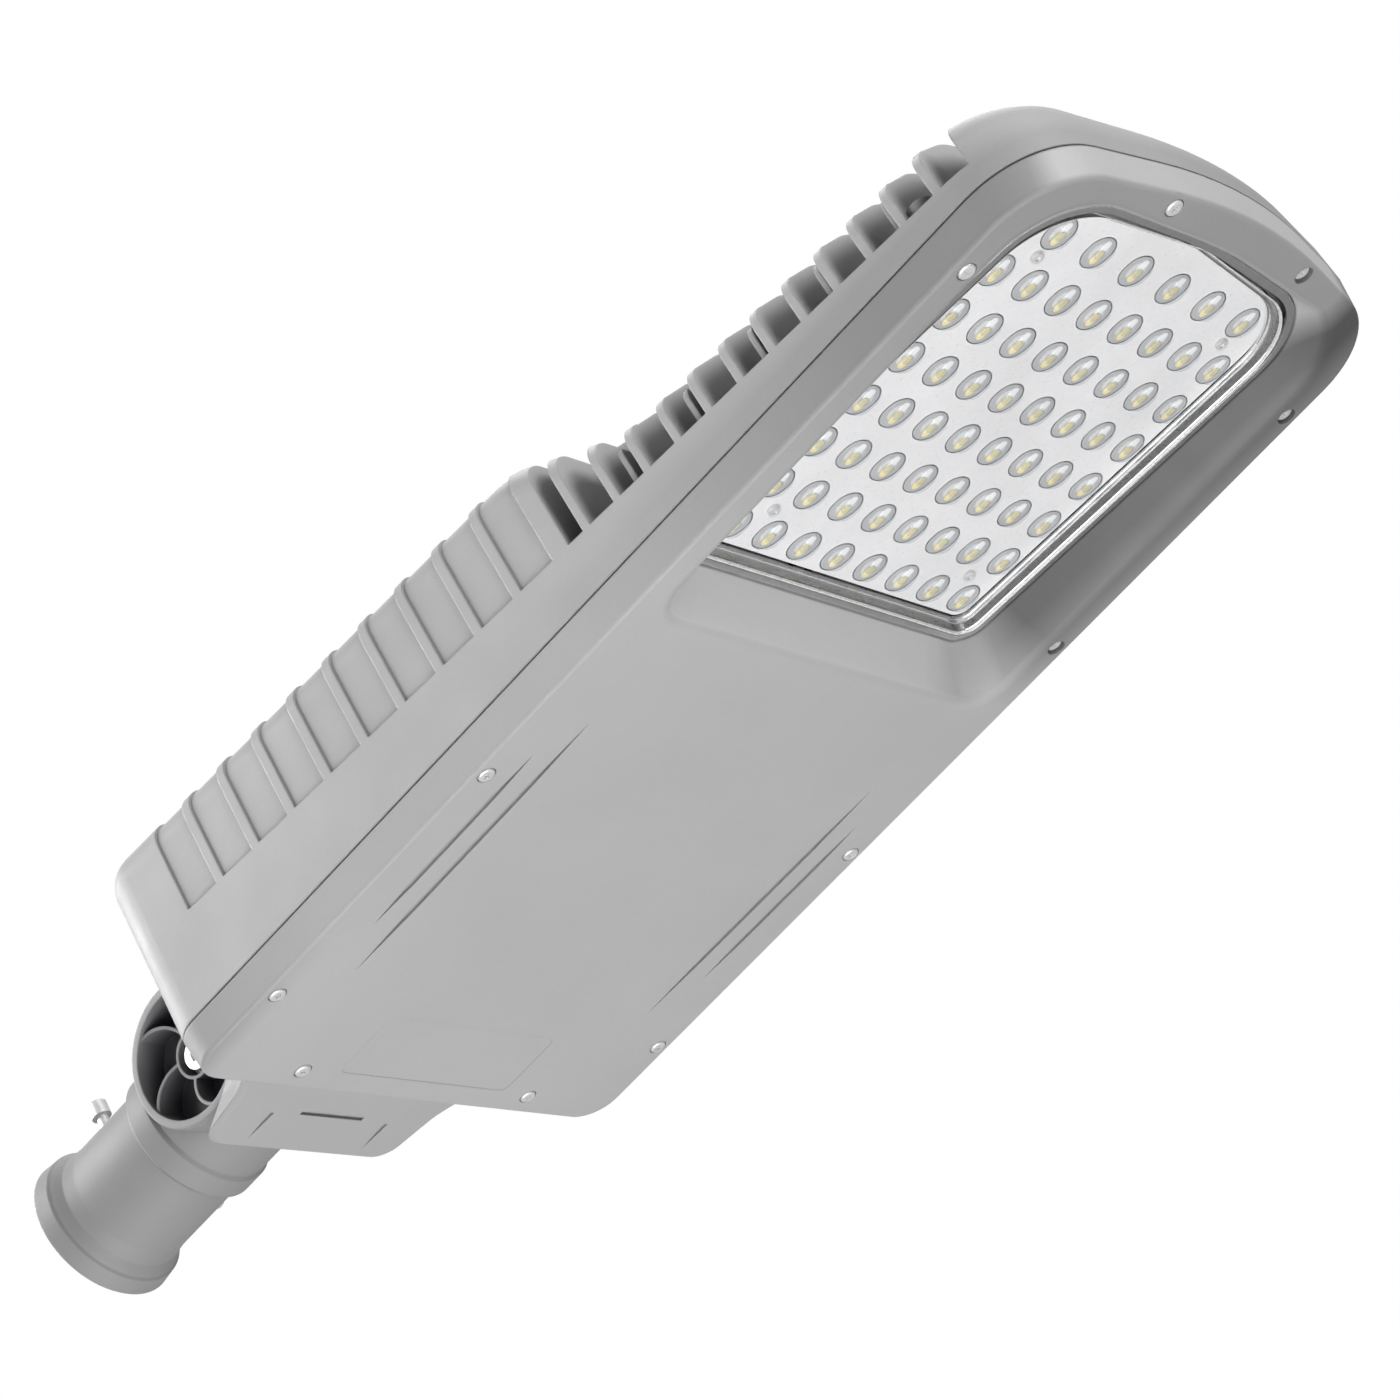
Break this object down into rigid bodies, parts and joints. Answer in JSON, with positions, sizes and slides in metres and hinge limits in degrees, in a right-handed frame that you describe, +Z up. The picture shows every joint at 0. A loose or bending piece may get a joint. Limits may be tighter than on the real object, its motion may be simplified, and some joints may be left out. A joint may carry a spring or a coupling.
{
  "type": "solar street lamp head",
  "caption": "Cast street lamp head with cooling fins, a recessed LED window, an internal battery and solar charge controller, on a tilting pole socket.",
  "frame": {"origin": "centre of the pole socket's open mouth, on the socket's axis", "axes": "+X along the socket axis from the pole towards the tip of the lamp, +Z up (the light shines down along -Z), +Y to the left seen from the pole looking towards the tip"},
  "size_m": [0.7453, 0.2698, 0.1272],
  "materials": {
    "painted_casting": "cast aluminium with a light grey powder coat",
    "painted_cover": "cast aluminium with a light grey powder coat",
    "painted_bracket": "cast aluminium with a light grey powder coat",
    "painted_spigot": "cast aluminium with a light grey powder coat",
    "bright_steel": "bright stainless steel",
    "zinc_steel": "zinc plated sheet",
    "nickel": "nickel strip",
    "bare_aluminium": "bare extruded aluminium",
    "chrome_plastic": "bright vacuum-metallised plastic",
    "clear_lens": "clear moulded acrylic",
    "white_board": "white solder mask",
    "phosphor": "pale yellow phosphor",
    "green_board": "green solder mask",
    "green_plastic": "moulded green plastic",
    "black_plastic": "moulded black nylon",
    "black_silicone": "matt black silicone",
    "grey_silicone": "soft grey heat pad",
    "foam": "closed-cell foam",
    "cell_wrap": "blue heat-shrink sleeve",
    "red_lead": "red insulation",
    "black_lead": "black insulation"
  },
  "bodies": {
    "socket": {"spigot": "painted_spigot", "pivot_bolt": "bright_steel", "pivot_washers": "bright_steel", "pivot_nut": "bright_steel"},
    "head": {"upper_housing": "painted_casting", "lower_cover": "painted_cover", "housing_gasket": "black_silicone", "cover_screws": "bright_steel", "board_screws": "bright_steel", "led_board": "white_board", "led_chips": "phosphor", "lens_array": "clear_lens", "reflector_tray": "chrome_plastic", "tray_gasket": "black_silicone", "heat_pad": "grey_silicone", "battery_cells": "cell_wrap", "cell_spacer_lower": "black_plastic", "cell_spacer_upper": "black_plastic", "cell_links": "nickel", "battery_pad": "foam", "battery_straps": "zinc_steel", "strap_screws": "bright_steel", "strap_spacers": "zinc_steel", "controller_case": "bare_aluminium", "controller_lid": "black_plastic", "controller_board": "green_board", "controller_screws": "bright_steel", "terminal_block": "green_plastic", "terminal_screws": "bright_steel", "battery_leads": "red_lead", "led_leads": "black_lead", "gland_body": "black_plastic", "gland_cap": "black_plastic", "gland_insert": "black_silicone", "gland_seal": "black_silicone", "gland_locknut": "black_plastic", "breather_vent": "black_plastic", "vent_locknut": "black_plastic", "knuckle_bracket": "painted_bracket", "bracket_bolts": "bright_steel"},
    "top_clamp_screw": {"clamp_screw_top": "bright_steel"},
    "side_clamp_screw": {"clamp_screw_side": "bright_steel"}
  },
  "joints": [
    {"name": "tilt", "type": "hinge", "parent": "socket", "child": "head", "pos_m": [0.1245, 0, 0.0055], "axis": [0, 1, 0], "range_deg": [-30, 15]},
    {"name": "top_clamp", "type": "slide", "parent": "socket", "child": "top_clamp_screw", "axis": [0, 0, -1], "range_m": [0, 0.003]},
    {"name": "side_clamp", "type": "slide", "parent": "socket", "child": "side_clamp_screw", "axis": [0, -1, 0], "range_m": [0, 0.003]}
  ]
}
